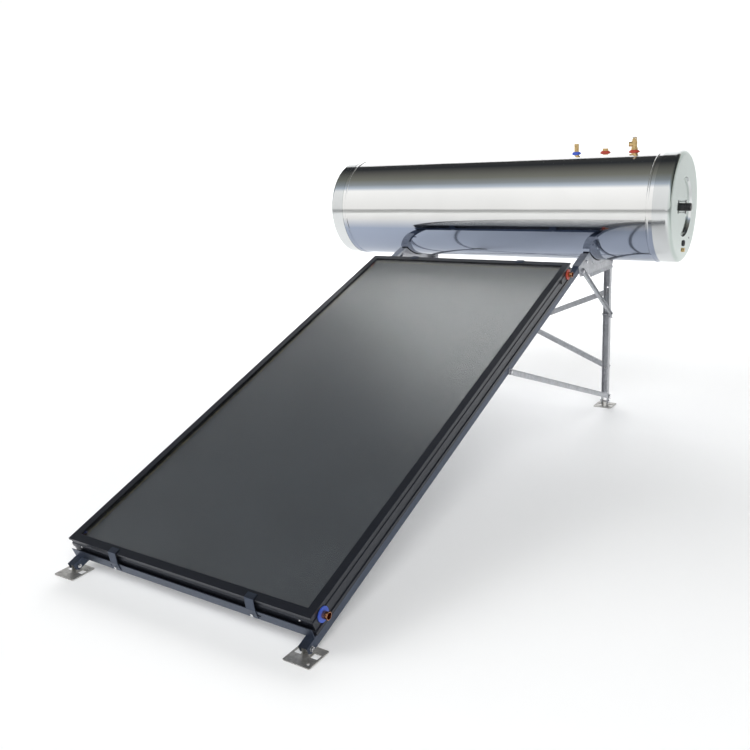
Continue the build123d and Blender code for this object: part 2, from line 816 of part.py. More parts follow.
for side, sign in (("left", -1), ("right", 1)):
    post_x = sign * post_offset
    with BuildPart() as slope_rail:
        start = slope_point(post_x, rail_start, rail_top)
        with BuildSketch(Plane(origin=start, x_dir=(1, 0, 0), z_dir=slope_up)):
            Rectangle(channel, rail_depth, align=(Align.CENTER, Align.MIN))
            with Locations((0, channel_wall)):
                Rectangle(
                    channel - 2 * channel_wall,
                    rail_depth,
                    align=(Align.CENTER, Align.MIN),
                    mode=Mode.SUBTRACT,
                )
        extrude(amount=rail_end - rail_start)
        with BuildSketch(Plane.YZ.offset(post_x)):
            with BuildLine():
                Polyline(
                    slope_yz(rail_start - 1, rail_top - rail_depth + 10),
                    slope_yz(rail_start + 10, rail_top - rail_depth - 1),
                    slope_yz(rail_start - 1, rail_top - rail_depth - 1),
                    close=True,
                )
            make_face()
        extrude(amount=channel, both=True, mode=Mode.SUBTRACT)
        drill_across(post_x, rail_bolts, bolt_radius, 2 * channel)
        for t_bolt in (beam_t + beam_leg - 10, collector_length - beam_t - beam_leg + 10):
            with BuildSketch(slope_plane.offset(rail_top)):
                with Locations((post_x, t_bolt)):
                    Circle(3)
            extrude(amount=-2 * channel_wall, mode=Mode.SUBTRACT)
    save(slope_rail, f"slope_rail_{side}")

    with BuildPart() as rear_leg:
        with BuildSketch(Plane.XY.offset(leg_bottom)):
            with Locations((post_x, leg_y)):
                Rectangle(channel, channel)
            with Locations((post_x, leg_y - channel_wall)):
                Rectangle(channel - 2 * channel_wall, channel, mode=Mode.SUBTRACT)
        extrude(amount=leg_top - leg_bottom)
        with Locations((post_x, leg_back, leg_bottom)):
            Box(
                channel - 2 * channel_wall,
                4 * channel_wall,
                leg_notch_top - leg_bottom,
                align=(Align.CENTER, Align.CENTER, Align.MIN),
                mode=Mode.SUBTRACT,
            )
        drill_across(post_x, leg_bolts, bolt_radius, 2 * channel)
        brace_heights = [z for ends in brace_ends for x, z in ends if x * sign > 0]
        with BuildSketch(Plane.XZ.offset(-leg_back)):
            with Locations(*[(sign * brace_x, z) for z in brace_heights]):
                Circle(bolt_radius)
            with Locations((sign * brace_x, max(brace_heights) + spare_hole_rise)):
                Circle(3.5)
        extrude(amount=2 * channel_wall, both=True, mode=Mode.SUBTRACT)
    save(rear_leg, f"rear_leg_{side}")


def strut(sign, x_inner, top, foot):
    """A pressed channel along a line between two bolts, with its back against the member at x_inner."""
    run = Vector(0, foot[0] - top[0], foot[1] - top[1])
    along = run.normalized()
    start = Vector(sign * x_inner, top[0], top[1]) - along * strut_margin
    with BuildSketch(Plane(origin=start, x_dir=(sign, 0, 0), z_dir=along)) as section:
        Rectangle(strut_depth, strut_width, align=(Align.MIN, Align.CENTER))
        with Locations((strut_wall, 0)):
            Rectangle(
                strut_depth,
                strut_width - 2 * strut_wall,
                align=(Align.MIN, Align.CENTER),
                mode=Mode.SUBTRACT,
            )
    extrude(section.sketch, amount=run.length + 2 * strut_margin)
    drill_across(sign * x_inner, [top, foot], bolt_radius, 4 * strut_depth)


for side, sign in (("left", -1), ("right", 1)):
    with BuildPart() as upper_strut:
        strut(sign, saddle_face, upper_strut_top, upper_strut_foot)
    save(upper_strut, f"upper_strut_{side}")
    with BuildPart() as lower_strut:
        strut(sign, outer_face, lower_strut_top, lower_strut_foot)
    save(lower_strut, f"lower_strut_{side}")

brace_gap = 0.2
brace_section_depths = [leg_back, leg_back + brace_depth + brace_gap]
with BuildPart() as cross_braces:
    for (high, low), back in zip(brace_ends, brace_section_depths):
        run = Vector(low[0] - high[0], 0, low[1] - high[1])
        along = run.normalized()
        start = Vector(high[0], back, high[1]) - along * brace_margin
        with BuildSketch(Plane(origin=start, x_dir=(0, 1, 0), z_dir=along)):
            Rectangle(brace_depth, brace_width, align=(Align.MIN, Align.CENTER))
            with Locations((brace_wall, 0)):
                Rectangle(
                    brace_depth,
                    brace_width - 2 * brace_wall,
                    align=(Align.MIN, Align.CENTER),
                    mode=Mode.SUBTRACT,
                )
        extrude(amount=run.length + 2 * brace_margin)
        with BuildSketch(Plane.XZ.offset(-back)):
            with Locations(high, low, (high[0] - 24 * math.copysign(1, high[0]), 0)):
                Circle(bolt_radius)
        extrude(amount=-brace_wall, mode=Mode.SUBTRACT)
save(cross_braces, "cross_braces")

# Saddles: a pressed side plate bolted outside each rail and leg, with a seat for the tank.
seat_t = tank_reach * slope_cos + (tank_height - front_height) * slope_sin
seat_n = (tank_height - front_height) * slope_cos - tank_reach * slope_sin
saddle_top_n = rail_top + saddle_thick
saddle_front_t = 2085.0
seat_start_t = seat_t - math.sqrt(seat_radius**2 - (seat_n - saddle_top_n) ** 2)
seat_start = slope_yz(seat_start_t, saddle_top_n)
saddle_bottom = 712.0
saddle_back = leg_back + 1.0
seat_end_angle = 310.0
sleeve_start_t = 2098.0
sleeve_end_t = 2215.0
saddle_inner = outer_face - channel - 2.0  # inner edge of the saddle's flanges
seat_span = (233.0, 307.0)  # angles round the tank's axis, from +Y through +Z
lip_run = (front_y + 2125.0, leg_y + 6.0)


def round_tank(radius, angle):
    """The Y and Z of a point round the tank's axis."""
    turn = math.radians(angle)
    return tank_y + radius * math.cos(turn), tank_height + radius * math.sin(turn)


def ring_sector(plane, radius, thick, span):
    """A band round the tank's axis between two angles."""
    middle = sum(span) / 2
    with BuildSketch(plane) as band:
        with BuildLine():
            ThreePointArc(*[round_tank(radius, angle) for angle in (span[0], middle, span[1])])
            Line(round_tank(radius, span[1]), round_tank(radius + thick, span[1]))
            ThreePointArc(*[round_tank(radius + thick, angle) for angle in (span[1], middle, span[0])])
            Line(round_tank(radius + thick, span[0]), round_tank(radius, span[0]))
        make_face()
    return band.sketch


for side, sign in (("left", -1), ("right", 1)):
    inner_plane = Plane.YZ.offset(sign * saddle_inner)
    width = sign * (saddle_face - saddle_inner)
    with BuildPart() as saddle:
        with BuildSketch(Plane.YZ.offset(sign * outer_face)):
            with BuildLine():
                seat_end = round_tank(seat_radius, seat_end_angle)
                seat_low = round_tank(seat_radius, 270)
                front_top = slope_yz(saddle_front_t, saddle_top_n)
                front_bottom = slope_yz(saddle_front_t, -116)
                Line(front_top, seat_start)
                ThreePointArc(seat_start, seat_low, seat_end)
                Polyline(
                    seat_end,
                    (saddle_back, seat_end[1]),
                    (saddle_back, saddle_bottom),
                    (front_y + 2104, saddle_bottom),
                    front_bottom,
                    front_top,
                )
            make_face()
        extrude(amount=sign * saddle_thick)
        with BuildSketch(inner_plane):
            with BuildLine():
                Polyline(
                    slope_yz(sleeve_start_t, rail_top),
                    slope_yz(sleeve_end_t, rail_top),
                    slope_yz(sleeve_end_t, saddle_top_n),
                    slope_yz(sleeve_start_t, saddle_top_n),
                    close=True,
                )
            make_face()
        extrude(amount=width)
        with BuildSketch(inner_plane):
            with BuildLine():
                Polyline(
                    slope_yz(sleeve_start_t, saddle_top_n - 12),
                    slope_yz(sleeve_end_t, saddle_top_n - 12),
                    slope_yz(sleeve_end_t, saddle_top_n),
                    slope_yz(sleeve_start_t, saddle_top_n),
                    close=True,
                )
            make_face()
        extrude(amount=sign * 2.0)
        extrude(ring_sector(inner_plane, seat_radius, saddle_thick, seat_span), amount=width)
        with BuildSketch(Plane.XZ.offset(-lip_run[0])):
            with BuildLine():
                Polyline(
                    (sign * outer_face, saddle_bottom + 2),
                    (sign * saddle_face, saddle_bottom + 2),
                    (sign * (saddle_face + 7.5), saddle_bottom - 13),
                    (sign * (saddle_face + 5.3), saddle_bottom - 14.2),
                    (sign * outer_face, saddle_bottom - 3.5),
                    close=True,
                )
            make_face()
        extrude(amount=-(lip_run[1] - lip_run[0]))
        rib = ring_sector(Plane.YZ.offset(sign * saddle_face), seat_radius + 14, 7, (244, 288))
        extrude(rib, amount=sign * 1.6)
        web_bolts = [upper_strut_top, saddle_rail_bolt, saddle_leg_bolt]
        drill_across(sign * outer_face, web_bolts, bolt_radius, 4 * saddle_thick)
    save(saddle, f"saddle_{side}")

with BuildPart() as saddle_pads:
    for sign in (-1, 1):
        inner_plane = Plane.YZ.offset(sign * saddle_inner)
        pad = ring_sector(inner_plane, tank_radius, saddle_gap, (seat_span[0] + 1, seat_span[1] - 1))
        extrude(pad, amount=sign * (saddle_face - saddle_inner))
save(saddle_pads, "saddle_pads")

# Beams and clips that hold the collector on the rails.
beam_wall = 2.0
for node, end_t, out_sign in (("front_beam", 0.0, -1), ("back_beam", collector_length, 1)):
    with BuildPart(slope_plane) as beam:
        face_t = end_t - out_sign * beam_t
        with Locations((0, face_t, beam_top)):
            Box(
                2 * beam_half,
                beam_wall,
                beam_top - rail_top,
                align=(Align.CENTER, Align.MIN if out_sign < 0 else Align.MAX, Align.MAX),
            )
        with Locations((0, face_t, rail_top)):
            Box(
                2 * beam_half,
                beam_leg,
                beam_wall,
                align=(Align.CENTER, Align.MIN if out_sign < 0 else Align.MAX, Align.MIN),
            )
        clip_x = clip_front_x if out_sign < 0 else clip_back_x
        for sign in (-1, 1):
            with BuildSketch(Plane(slope_point(0, face_t, 0), x_dir=(1, 0, 0), z_dir=slope_up * out_sign)):
                y_sign = 1 if out_sign < 0 else -1
                with Locations((sign * (clip_x + 21), y_sign * clip_bolt_n)):
                    SlotOverall(16, 6.5)
                with Locations((sign * clip_x, y_sign * clip_bolt_n)):
                    Circle(3)
            extrude(amount=-2 * beam_wall, mode=Mode.SUBTRACT)
            with BuildSketch(slope_plane.offset(rail_top)):
                with Locations((sign * post_offset, face_t - out_sign * (beam_leg - 10))):
                    Circle(3)
            extrude(amount=beam_wall, mode=Mode.SUBTRACT)
    save(beam, node)

clip_width = 34.0
clip_thick = 2.5
clip_hook = 18.0
clip_top = 0.1
with BuildPart() as collector_clips:
    for end_t, out_sign, clip_x in ((0.0, -1, clip_front_x), (collector_length, 1, clip_back_x)):
        beam_face = end_t - out_sign * beam_t
        outline = [
            (end_t - out_sign * clip_hook, clip_top),
            (end_t + out_sign * 0.6, clip_top),
            (beam_face, beam_top + 2),
            (beam_face, clip_bolt_n - 10),
            (beam_face + out_sign * clip_thick, clip_bolt_n - 10),
            (beam_face + out_sign * clip_thick, beam_top + 2),
            (end_t + out_sign * 2.6, clip_top + clip_thick),
            (end_t - out_sign * clip_hook, clip_top + clip_thick),
        ]
        for sign in (-1, 1):
            middle = sign * clip_x
            with BuildSketch(Plane.YZ.offset(middle - clip_width / 2)):
                with BuildLine():
                    Polyline(*[slope_yz(t, n) for t, n in outline], close=True)
                make_face()
            extrude(amount=clip_width)
            with BuildSketch(Plane(origin=slope_point(middle, beam_face, clip_bolt_n), z_dir=slope_up)):
                Circle(3)
            extrude(amount=5, both=True, mode=Mode.SUBTRACT)
save(collector_clips, "collector_clips")

# ---------------------------------------------------------------- feet
ear_thick_foot = 2.5
ear_outer = channel / 2 - channel_wall - 0.4
ear_tip = 9.0
window_from = 16.0
window_to = 40.0
window_half = 11.0
anchor_radius = 4.5
anchor_offset = (31.0, -30.0)

for end, pivot, shift in (("front", front_pivot, front_plate_shift), ("rear", rear_pivot, 0.0)):
    for side, sign in (("left", -1), ("right", 1)):
        foot_x = sign * post_offset
        with BuildPart() as foot:
            with BuildSketch():
                with Locations((foot_x, pivot[0] + shift)):
                    RectangleRounded(foot_side, foot_side, 4)
                for window_sign in (-1, 1):
                    middle = window_sign * (window_from + window_to) / 2
                    with Locations((foot_x + middle, pivot[0])):
                        Rectangle(window_to - window_from, 2 * window_half, mode=Mode.SUBTRACT)
                    anchor_x = foot_x + window_sign * sign * anchor_offset[0]
                    with Locations((anchor_x, pivot[0] + shift + window_sign * anchor_offset[1])):
                        Circle(anchor_radius, mode=Mode.SUBTRACT)
            extrude(amount=foot_plate)
            for ear_sign in (-1, 1):
                with BuildSketch(Plane.YZ.offset(foot_x + ear_sign * ear_outer)):
                    with Locations(pivot):
                        Circle(ear_tip)
                    with Locations((pivot[0], pivot[1] / 2)):
                        Rectangle(2 * ear_tip, pivot[1])
                extrude(amount=-ear_sign * ear_thick_foot)
            drill_across(foot_x, [pivot], pivot_radius + 0.5, foot_side)
        save(foot, f"foot_{end}_{side}")

# ---------------------------------------------------------------- bolts
head_across = 13.0
head_thick = 5.3
nut_thick = 6.5
washer_radius = 8.0
washer_thick = 1.6


def hexagon_across(x_from, thick, spot):
    """Add a hexagon head or nut on an axis along X."""
    with BuildSketch(Plane.YZ.offset(x_from)) as section:
        with Locations(spot):
            RegularPolygon(head_across / 2, 6, major_radius=False)
    extrude(section.sketch, amount=thick)


def bolt_across(sign, x_inner, x_outer, spot):
    """Add a bolt along X with its head outside, a washer under the head and a nut inside."""
    rod_across(sign * (x_inner - nut_thick - 3), sign * x_outer, spot, bolt_radius)
    rod_across(sign * x_outer, sign * (x_outer + washer_thick), spot, washer_radius)
    hexagon_across(sign * (x_outer + washer_thick), sign * head_thick, spot)
    hexagon_across(sign * x_inner, -sign * nut_thick, spot)


rail_inner_face = outer_face - channel
with BuildPart() as foot_bolts:
    for sign in (-1, 1):
        for spot in (front_pivot, rear_pivot):
            bolt_across(sign, rail_inner_face, outer_face, spot)
save(foot_bolts, "foot_bolts")

with BuildPart() as stand_bolts:
    for sign in (-1, 1):
        bolt_across(sign, rail_inner_face, saddle_face, saddle_rail_bolt)
        bolt_across(sign, rail_inner_face, saddle_face, saddle_leg_bolt)
        bolt_across(sign, rail_inner_face, saddle_face + strut_wall, upper_strut_top)
        bolt_across(sign, rail_inner_face, saddle_face + strut_wall, upper_strut_foot)
        rod_across(sign * outer_face, sign * saddle_face, upper_strut_foot, washer_radius)
        bolt_across(sign, rail_inner_face, outer_face + strut_wall, lower_strut_top)
        bolt_across(sign, rail_inner_face, outer_face + strut_wall, lower_strut_foot)
    for ends, back in zip(brace_ends, brace_section_depths):
        for x, z in ends:
            with BuildSketch(Plane.XZ.offset(-(leg_back - channel_wall))):
                with Locations((x, z)):
                    Circle(bolt_radius)
            extrude(amount=-(back + brace_wall - leg_back + channel_wall))
            with BuildSketch(Plane.XZ.offset(-(back + brace_wall))):
                with Locations((x, z)):
                    RegularPolygon(head_across / 2, 6, major_radius=False)
            extrude(amount=-head_thick)
            with BuildSketch(Plane.XZ.offset(-(leg_back - channel_wall))):
                with Locations((x, z)):
                    RegularPolygon(head_across / 2, 6, major_radius=False)
            extrude(amount=nut_thick)
            if back > leg_back:
                with BuildSketch(Plane.XZ.offset(-leg_back)):
                    with Locations((x, z)):
                        Circle(washer_radius)
                extrude(amount=-(brace_depth + brace_gap))
save(stand_bolts, "stand_bolts")

clip_bolt_radius = 3.0
with BuildPart() as clip_bolts:
    for end_t, out_sign, clip_x in ((0.0, -1, clip_front_x), (collector_length, 1, clip_back_x)):
        beam_face = end_t - out_sign * beam_t
        for sign in (-1, 1):
            inner = slope_point(sign * clip_x, beam_face - out_sign * beam_wall, clip_bolt_n)
            with BuildSketch(Plane(origin=inner, z_dir=slope_up * out_sign)):
                Circle(clip_bolt_radius)
            extrude(amount=beam_wall + clip_thick)
            outer = slope_point(sign * clip_x, beam_face + out_sign * clip_thick, clip_bolt_n)
            with BuildSketch(Plane(origin=outer, z_dir=slope_up * out_sign)):
                RegularPolygon(5, 6, major_radius=False)
            extrude(amount=4)
            with BuildSketch(Plane(origin=inner, z_dir=slope_up * out_sign)):
                RegularPolygon(5, 6, major_radius=False)
            extrude(amount=-4.5)
            under = slope_point(sign * post_offset, beam_face - out_sign * (beam_leg - 10), rail_top)
            with BuildSketch(Plane(origin=under, z_dir=slope_normal)):
                Circle(clip_bolt_radius)
            extrude(amount=beam_wall)
            with BuildSketch(Plane(origin=under, z_dir=slope_normal)):
                Circle(clip_bolt_radius)
            extrude(amount=-channel_wall)
            with BuildSketch(Plane(origin=under - slope_normal * channel_wall, z_dir=slope_normal)):
                RegularPolygon(5, 6, major_radius=False)
            extrude(amount=-4.5)
save(clip_bolts, "clip_bolts")
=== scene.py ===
import json
import math

import bpy
from mathutils import Matrix, Vector


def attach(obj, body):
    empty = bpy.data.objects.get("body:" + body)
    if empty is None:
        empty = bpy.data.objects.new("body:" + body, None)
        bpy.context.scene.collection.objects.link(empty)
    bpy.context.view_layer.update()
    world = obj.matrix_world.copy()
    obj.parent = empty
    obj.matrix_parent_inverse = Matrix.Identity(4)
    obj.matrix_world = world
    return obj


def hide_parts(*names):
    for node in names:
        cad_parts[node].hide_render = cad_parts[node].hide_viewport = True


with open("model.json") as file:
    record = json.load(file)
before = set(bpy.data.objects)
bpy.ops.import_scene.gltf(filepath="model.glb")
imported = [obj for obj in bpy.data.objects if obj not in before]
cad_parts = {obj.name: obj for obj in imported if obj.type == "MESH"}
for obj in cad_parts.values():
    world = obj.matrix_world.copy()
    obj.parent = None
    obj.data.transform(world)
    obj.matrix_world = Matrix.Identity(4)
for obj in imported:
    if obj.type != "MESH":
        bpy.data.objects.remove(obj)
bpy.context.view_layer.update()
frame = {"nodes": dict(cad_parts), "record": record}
nodes = frame["nodes"]
STAND = "heater"
WORLD_STRENGTH = 0.92
PAPER_GLOW = 0.06
FLOOR_GAP = 0.0006


# ---------------------------------------------------------------- camera
def make_camera():
    """A camera low in front of the collector's right side, looking at the tank."""
    yaw, pitch, roll = (math.radians(a) for a in (33.34, 14.23, -2.57))
    ahead = Vector((-math.sin(yaw), math.cos(yaw), 0))
    right = Vector((math.cos(yaw), math.sin(yaw), 0))
    up = Vector((0, 0, 1))
    forward = ahead * math.cos(pitch) - up * math.sin(pitch)
    upward = up * math.cos(pitch) + ahead * math.sin(pitch)
    side = right * math.cos(roll) + upward * math.sin(roll)
    top = upward * math.cos(roll) - right * math.sin(roll)
    data = bpy.data.cameras.new("camera")
    data.lens = 39.75
    data.shift_x = -0.0154
    data.shift_y = -0.0203
    camera = bpy.data.objects.new("camera", data)
    turn = Matrix((side, top, -forward)).transposed().to_4x4()
    camera.matrix_world = Matrix.Translation((1.7606, -2.7274, 1.2979)) @ turn
    bpy.context.scene.collection.objects.link(camera)
    bpy.context.scene.camera = camera


# ---------------------------------------------------------------- studio
def gradient_world():
    """A studio that is white round the horizon and dark overhead, for bright metal to show."""
    world = bpy.data.worlds.new("studio")
    world.use_nodes = True
    tree = world.node_tree
    background = tree.nodes["Background"]
    coords = tree.nodes.new("ShaderNodeTexCoord")
    split = tree.nodes.new("ShaderNodeSeparateXYZ")
    front = tree.nodes.new("ShaderNodeMath")
    front.operation = "MULTIPLY"
    front.inputs[1].default_value = -1.0
    angle = tree.nodes.new("ShaderNodeMath")
    angle.operation = "ARCTAN2"
    share = tree.nodes.new("ShaderNodeMath")
    share.operation = "DIVIDE"
    share.inputs[1].default_value = math.pi
    ramp = tree.nodes.new("ShaderNodeValToRGB")
    # Colours over the arc from the front horizon (0), overhead (0.5) and down to the back horizon (1).
    stops = [
        (0.0, (1.0, 1.0, 1.0)),
        (0.25, (1.15, 1.15, 1.15)),
        (0.29, (0.55, 0.62, 0.72)),
        (0.34, (0.30, 0.33, 0.35)),
        (0.42, (0.20, 0.205, 0.18)),
        (0.52, (0.12, 0.12, 0.11)),
        (0.62, (0.03, 0.033, 0.037)),
        (0.74, (0.05, 0.05, 0.05)),
        (0.80, (0.62, 0.60, 0.56)),
        (1.0, (0.95, 0.95, 0.94)),
    ]
    elements = ramp.color_ramp.elements
    while len(elements) < len(stops):
        elements.new(0.5)
    for element, (place, colour) in zip(elements, stops):
        element.position = place
        element.color = (*colour, 1)
    tree.links.new(coords.outputs["Generated"], split.inputs[0])
    tree.links.new(split.outputs["Y"], front.inputs[0])
    tree.links.new(split.outputs["Z"], angle.inputs[0])
    tree.links.new(front.outputs[0], angle.inputs[1])
    tree.links.new(angle.outputs[0], share.inputs[0])
    tree.links.new(share.outputs[0], ramp.inputs["Fac"])
    tree.links.new(ramp.outputs["Color"], background.inputs["Color"])
    background.inputs["Strength"].default_value = WORLD_STRENGTH
    bpy.context.scene.world = world


def area_light(name, place, target, size, power):
    """A soft lamp aimed at a point."""
    data = bpy.data.lights.new(name, "AREA")
    data.shape = "DISK"
    data.size = size
    data.energy = power
    lamp = bpy.data.objects.new(name, data)
    lamp.location = place
    lamp.rotation_euler = (Vector(target) - Vector(place)).to_track_quat("-Z", "Y").to_euler()
    lamp.visible_glossy = False
    bpy.context.scene.collection.objects.link(lamp)


def make_studio():
    """Floor with a curved rise behind the object, world and lamps."""
    bpy.context.scene.view_settings.view_transform = "Standard"
    gradient_world()
    area_light("key", (4.0, -4.5, 5.5), (0, 0, 0.5), 5.0, 285)
    area_light("fill", (-5.0, -3.5, 4.0), (0, 0, 0.5), 5.0, 130)
    area_light("back", (-3.0, 6.0, 6.0), (0, 1.0, 0.9), 5.0, 260)
    area_light("wash", (-6.0, 4.0, 7.0), (-6.0, 13.0, 2.0), 6.0, 800)
    near, far, rise, bend, steps = -60.0, 14.0, 14.0, 6.0, 24
    outline = [(near, 0.0)]
    for step in range(steps + 1):
        angle = math.pi / 2 * step / steps
        outline.append((far - bend + bend * math.sin(angle), bend - bend * math.cos(angle)))
    outline.append((far, rise))
    turn = Matrix.Rotation(math.radians(20), 3, "Z")
    verts = [turn @ Vector((x, y, z)) - Vector((0, 0, FLOOR_GAP)) for y, z in outline for x in (-70, 70)]
    faces = [(2 * i, 2 * i + 1, 2 * i + 3, 2 * i + 2) for i in range(len(outline) - 1)]
    mesh = bpy.data.meshes.new("studio_sweep")
    mesh.from_pydata(verts, [], faces)
    for face in mesh.polygons:
        face.use_smooth = True
    sweep = bpy.data.objects.new("studio_sweep", mesh)
    bpy.context.scene.collection.objects.link(sweep)
    paint = material("studio_paper", (0.93, 0.93, 0.93), roughness=0.8, mottle=0.01, scale=0.7)
    shader = paint.node_tree.nodes["Principled BSDF"]
    shader.inputs["Emission Color"].default_value = (1, 1, 1, 1)
    shader.inputs["Emission Strength"].default_value = PAPER_GLOW
    mesh.materials.append(paint)


# ---------------------------------------------------------------- materials
def material(name, colour, metallic=0.0, roughness=0.5, mottle=0.08, scale=30.0, bump=0.0, bump_scale=200.0,
             rough_spread=0.08, coat=0.0, spangle=0.0, spangle_scale=90.0, grain=None):
    """A surface whose colour, roughness and relief vary by noise, with optional zinc crystals and grain."""
    made = bpy.data.materials.new(name)
    made.use_nodes = True
    tree = made.node_tree
    links = tree.links
    shader = tree.nodes["Principled BSDF"]
    coords = tree.nodes.new("ShaderNodeTexCoord")
    place = coords.outputs["Object"]
    if grain:
        stretch = tree.nodes.new("ShaderNodeMapping")
        stretch.inputs["Scale"].default_value = grain
        links.new(place, stretch.inputs["Vector"])
        place = stretch.outputs["Vector"]
    noise = tree.nodes.new("ShaderNodeTexNoise")
    noise.inputs["Scale"].default_value = scale
    noise.inputs["Detail"].default_value = 6
    links.new(place, noise.inputs["Vector"])
    ramp = tree.nodes.new("ShaderNodeValToRGB")
    low, high = ramp.color_ramp.elements
    low.position, high.position = 0.3, 0.7
    low.color = (*[c * (1 - mottle) for c in colour], 1)
    high.color = (*[min(1, c * (1 + mottle)) for c in colour], 1)
    links.new(noise.outputs["Fac"], ramp.inputs["Fac"])
    tone = ramp.outputs["Color"]
    if spangle:
        cells = tree.nodes.new("ShaderNodeTexVoronoi")
        cells.inputs["Scale"].default_value = spangle_scale
        links.new(coords.outputs["Object"], cells.inputs["Vector"])
        level = tree.nodes.new("ShaderNodeSeparateColor")
        links.new(cells.outputs["Color"], level.inputs[0])
        spread = tree.nodes.new("ShaderNodeMapRange")
        spread.inputs["To Min"].default_value = 1 - spangle
        spread.inputs["To Max"].default_value = 1 + spangle
        links.new(level.outputs[0], spread.inputs["Value"])
        shade = tree.nodes.new("ShaderNodeMix")
        shade.data_type = "RGBA"
        shade.blend_type = "MULTIPLY"
        shade.inputs["Factor"].default_value = 1.0
        links.new(tone, shade.inputs["A"])
        grey = tree.nodes.new("ShaderNodeCombineColor")
        for socket in grey.inputs:
            links.new(spread.outputs[0], socket)
        links.new(grey.outputs[0], shade.inputs["B"])
        tone = shade.outputs["Result"]
    links.new(tone, shader.inputs["Base Color"])
    rough = tree.nodes.new("ShaderNodeMapRange")
    rough.inputs["To Min"].default_value = max(0.02, roughness - rough_spread)
    rough.inputs["To Max"].default_value = min(1.0, roughness + rough_spread)
    links.new(noise.outputs["Fac"], rough.inputs["Value"])
    links.new(rough.outputs[0], shader.inputs["Roughness"])
    shader.inputs["Metallic"].default_value = metallic
    shader.inputs["Coat Weight"].default_value = coat
    if bump:
        fine = tree.nodes.new("ShaderNodeTexNoise")
        fine.inputs["Scale"].default_value = bump_scale
        fine.inputs["Detail"].default_value = 4
        links.new(place, fine.inputs["Vector"])
        relief = tree.nodes.new("ShaderNodeBump")
        relief.inputs["Strength"].default_value = bump
        relief.inputs["Distance"].default_value = 0.001
        links.new(fine.outputs["Fac"], relief.inputs["Height"])
        links.new(relief.outputs["Normal"], shader.inputs["Normal"])
    return made


def facing_tint(made, axis, stops):
    """Multiplies a material's colour by one that depends on how far the surface faces along an axis."""
    tree = made.node_tree
    shader = tree.nodes["Principled BSDF"]
    base = shader.inputs["Base Color"].links[0].from_socket
    geometry = tree.nodes.new("ShaderNodeNewGeometry")
    split = tree.nodes.new("ShaderNodeSeparateXYZ")
    size = tree.nodes.new("ShaderNodeMath")
    size.operation = "ABSOLUTE" if axis == "X" else "ADD"
    spread = tree.nodes.new("ShaderNodeMapRange")
    spread.inputs["From Min"].default_value = 0 if axis == "X" else -1
    ramp = tree.nodes.new("ShaderNodeValToRGB")
    elements = ramp.color_ramp.elements
    while len(elements) < len(stops):
        elements.new(0.5)
    for element, (place, colour) in zip(elements, stops):
        element.position = place
        element.color = (*colour, 1)
    size.inputs[1].default_value = 0
    mix = tree.nodes.new("ShaderNodeMix")
    mix.data_type = "RGBA"
    mix.blend_type = "MULTIPLY"
    mix.inputs["Factor"].default_value = 1.0
    tree.links.new(geometry.outputs["Normal"], split.inputs[0])
    tree.links.new(split.outputs[axis], size.inputs[0])
    tree.links.new(size.outputs[0], spread.inputs["Value"])
    tree.links.new(spread.outputs[0], ramp.inputs["Fac"])
    tree.links.new(base, mix.inputs["A"])
    tree.links.new(ramp.outputs["Color"], mix.inputs["B"])
    tree.links.new(mix.outputs["Result"], shader.inputs["Base Color"])


def waves(made, scale, strength):
    """Slow waviness of thin rolled sheet."""
    tree = made.node_tree
    shader = tree.nodes["Principled BSDF"]
    coords = tree.nodes.new("ShaderNodeTexCoord")
    noise = tree.nodes.new("ShaderNodeTexNoise")
    noise.inputs["Scale"].default_value = scale
    noise.inputs["Detail"].default_value = 1
    relief = tree.nodes.new("ShaderNodeBump")
    relief.inputs["Strength"].default_value = strength
    relief.inputs["Distance"].default_value = 0.004
    tree.links.new(coords.outputs["Object"], noise.inputs["Vector"])
    tree.links.new(noise.outputs["Fac"], relief.inputs["Height"])
    tree.links.new(relief.outputs["Normal"], shader.inputs["Normal"])


def mirror_steel():
    """Polished stainless sheet with painted reflection and painted shade: darker and bluer underneath,
    standing in for the shaded ground it reflects.
    """
    made = material("mirror_steel", (0.88, 0.88, 0.88), 1.0, 0.06, 0.03, 3.0, rough_spread=0.025)
    waves(made, 3.5, 0.25)
    # Painted reflection and painted shade: faces turned down are multiplied towards dark blue-grey, faces
    # turned up stay bright.
    facing_tint(made, "Z", [
        (0.0, (0.34, 0.38, 0.47)),
        (0.32, (0.38, 0.43, 0.54)),
        (0.42, (0.78, 0.78, 0.77)),
        (0.50, (0.95, 0.95, 0.93)),
        (1.0, (1.0, 1.0, 1.0)),
    ])
    return made


def cap_metal():
    """The same polished sheet on the caps' skirts and a greener, duller face."""
    made = material("cap_metal", (0.82, 0.83, 0.83), 1.0, 0.11, 0.04, 6.0, rough_spread=0.04)
    waves(made, 5.0, 0.15)
    facing_tint(made, "X", [
        (0.25, (0.85, 0.86, 0.86)),
        (0.75, (0.66, 0.73, 0.69)),
    ])
    return made


def solar_glass():
    """Prismatic low-iron glass: clear and softly frosted."""
    made = material("solar_glass", (0.93, 0.95, 0.95), 0.0, 0.18, 0.01, 40.0,
                    rough_spread=0.04)
    shader = made.node_tree.nodes["Principled BSDF"]
    shader.inputs["Transmission Weight"].default_value = 1.0
    shader.inputs["IOR"].default_value = 1.5
    return made


